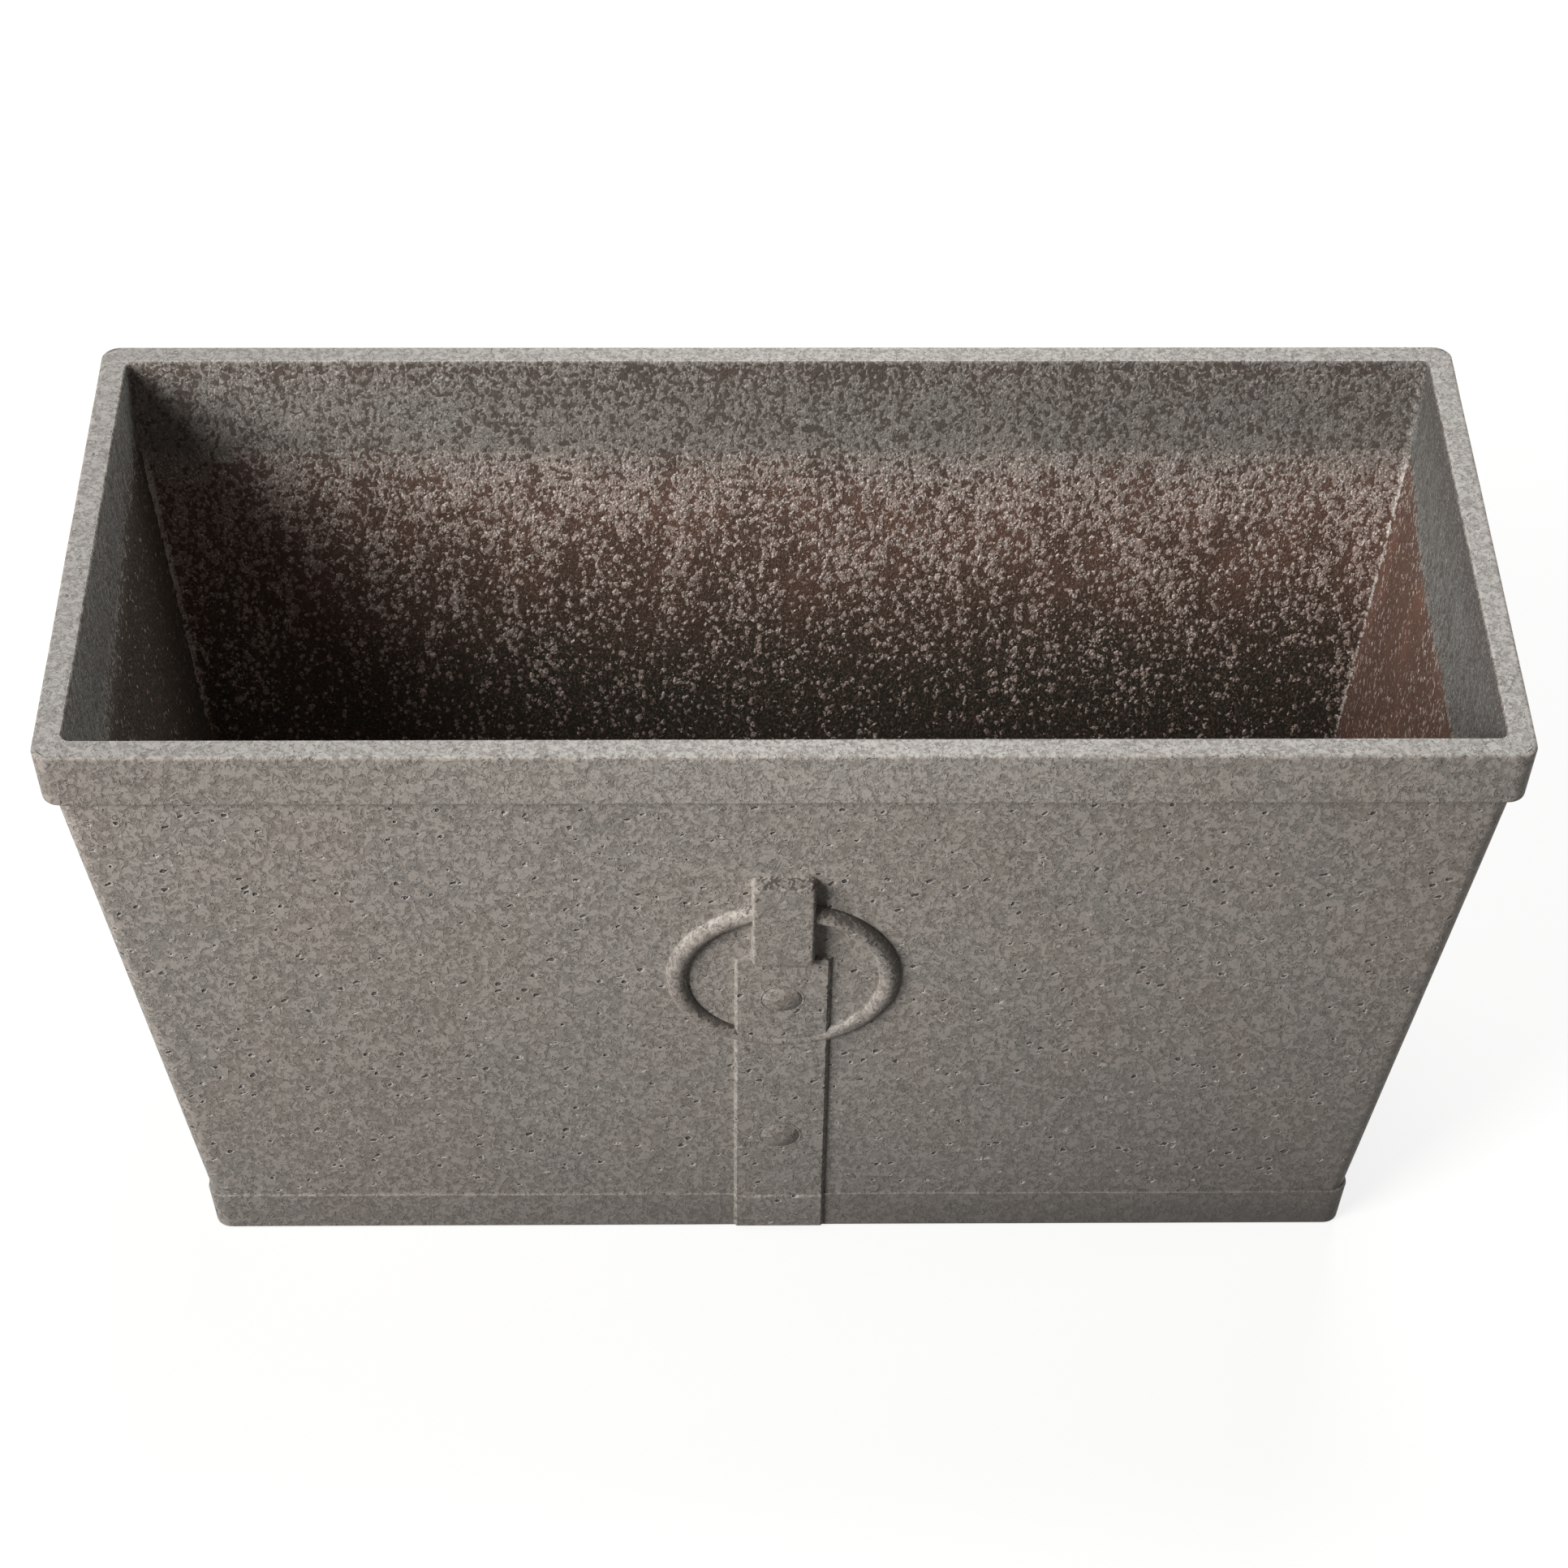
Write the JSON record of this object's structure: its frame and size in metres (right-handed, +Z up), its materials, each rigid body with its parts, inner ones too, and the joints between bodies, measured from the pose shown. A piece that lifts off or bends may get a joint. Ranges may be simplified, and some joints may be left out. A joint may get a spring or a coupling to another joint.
{
  "type": "trough planter",
  "caption": "Tapered rectangular trough planter with a heavy rim, a plinth band, a relief strap, clip and ring on its front wall, and lift-out drain plugs in its floor.",
  "frame": {"origin": "middle of the footprint, on the ground", "axes": "+X along the trough, +Y from the decorated front wall to the back wall, +Z up"},
  "size_m": [0.61, 0.277, 0.334],
  "materials": {
    "stone_spray": "brown resin sprayed with a mottled stone-grey finish, low sheen",
    "plug_rubber": "moulded black rubber, matt"
  },
  "bodies": {
    "planter": {"tub": "stone_spray", "rim_band": "stone_spray", "base_band": "stone_spray", "front_strap": "stone_spray", "ring_clip": "stone_spray", "ring_pull": "stone_spray", "upper_rivet": "stone_spray", "lower_rivet": "stone_spray"},
    "left_plug": {"drain_plug_left": "plug_rubber"},
    "right_plug": {"drain_plug_right": "plug_rubber"}
  },
  "joints": [
    {"name": "left_plug_lift", "type": "slide", "parent": "planter", "child": "left_plug", "axis": [0, 0, 1], "range_m": [0, 0.34]},
    {"name": "right_plug_lift", "type": "slide", "parent": "planter", "child": "right_plug", "axis": [0, 0, 1], "range_m": [0, 0.34]}
  ]
}
